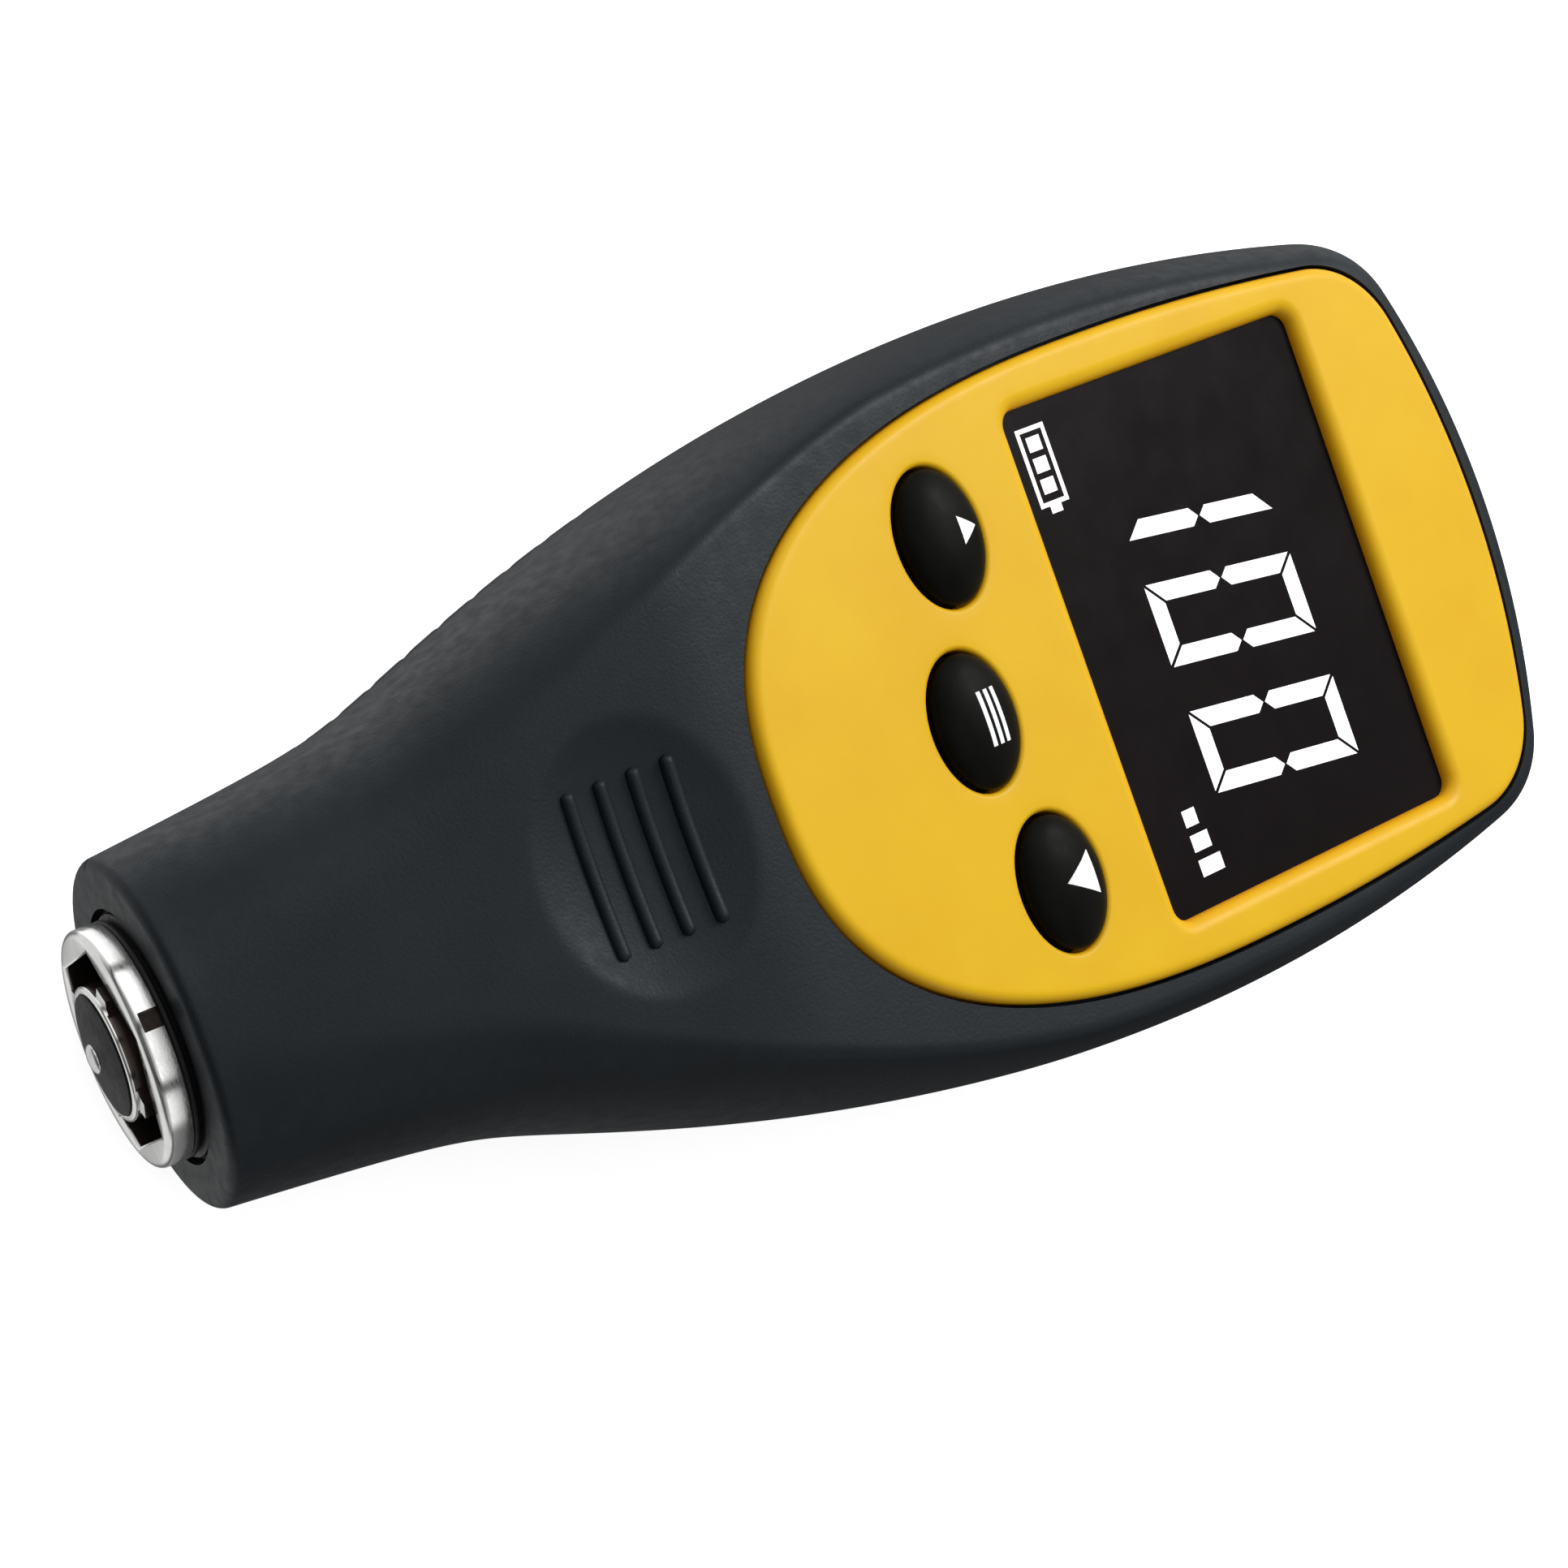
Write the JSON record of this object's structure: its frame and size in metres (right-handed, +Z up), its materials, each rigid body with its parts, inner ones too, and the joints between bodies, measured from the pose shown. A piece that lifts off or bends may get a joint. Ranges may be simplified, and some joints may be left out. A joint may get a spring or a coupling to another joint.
{
  "type": "coating thickness gauge",
  "caption": "Hand-held coating thickness gauge with a sloping display, domed keys, a thumb dish on the neck and a sprung probe in a bright ring at the nose",
  "frame": {"origin": "centre of the bounding box on the plane the back lies on", "axes": "+X across the display in reading direction, +Y from the probe to the head, +Z up out of the display side"},
  "size_m": [0.052, 0.1134, 0.0264],
  "materials": {
    "case_plastic": "charcoal, fine grained, soft touch",
    "plate_plastic": "warm yellow, satin",
    "lens_plastic": "black, smooth",
    "panel_glass": "dark display glass",
    "white_plastic": "white, plain",
    "black_plastic": "black, plain",
    "key_rubber": "black, slightly shiny",
    "seal_rubber": "black, dull",
    "contact_metal": "nickel plated",
    "board": "green solder mask",
    "bright_metal": "bright plated",
    "tip_steel": "hard steel",
    "winding": "enamelled copper wire",
    "cell_jacket": "plain jacket"
  },
  "bodies": {
    "gauge": {"front_case": "case_plastic", "rear_case": "case_plastic", "faceplate": "plate_plastic", "display_lens": "lens_plastic", "display_panel": "panel_glass", "panel_holder": "white_plastic", "backlight": "white_plastic", "panel_connector": "seal_rubber", "keypad_frame": "black_plastic", "key_dome_up": "contact_metal", "key_dome_menu": "contact_metal", "key_dome_down": "contact_metal", "main_board": "board", "processor": "black_plastic", "buzzer": "black_plastic", "probe_ring": "bright_metal", "nose_seal": "seal_rubber", "probe_housing": "black_plastic", "probe_spring": "tip_steel", "probe_lead": "seal_rubber", "cell_a": "cell_jacket", "cell_b": "cell_jacket", "contact_pos": "contact_metal", "contact_neg": "contact_metal", "contact_link": "contact_metal"},
    "key_up": {"key_up_cap": "key_rubber"},
    "key_menu": {"key_menu_cap": "key_rubber"},
    "key_down": {"key_down_cap": "key_rubber"},
    "probe": {"probe_sleeve": "bright_metal", "probe_core": "black_plastic", "probe_tip": "tip_steel", "probe_coil": "winding"},
    "door": {"battery_door": "case_plastic"}
  },
  "joints": [
    {"name": "key_up_press", "type": "slide", "parent": "gauge", "child": "key_up", "axis": [0, -0.1736, -0.9848], "range_m": [0, 0.0008], "stiffness_N_per_m": 2500},
    {"name": "key_menu_press", "type": "slide", "parent": "gauge", "child": "key_menu", "axis": [0, -0.1736, -0.9848], "range_m": [0, 0.0008], "stiffness_N_per_m": 2500},
    {"name": "key_down_press", "type": "slide", "parent": "gauge", "child": "key_down", "axis": [0, -0.1736, -0.9848], "range_m": [0, 0.0008], "stiffness_N_per_m": 2500},
    {"name": "probe_press", "type": "slide", "parent": "gauge", "child": "probe", "axis": [0, 1, 0], "range_m": [0, 0.0014], "stiffness_N_per_m": 800, "springref_m": -0.001, "deforming": ["probe_spring"]},
    {"name": "door_slide", "type": "slide", "parent": "gauge", "child": "door", "axis": [0, 1, 0], "range_m": [0, 0.05]}
  ]
}
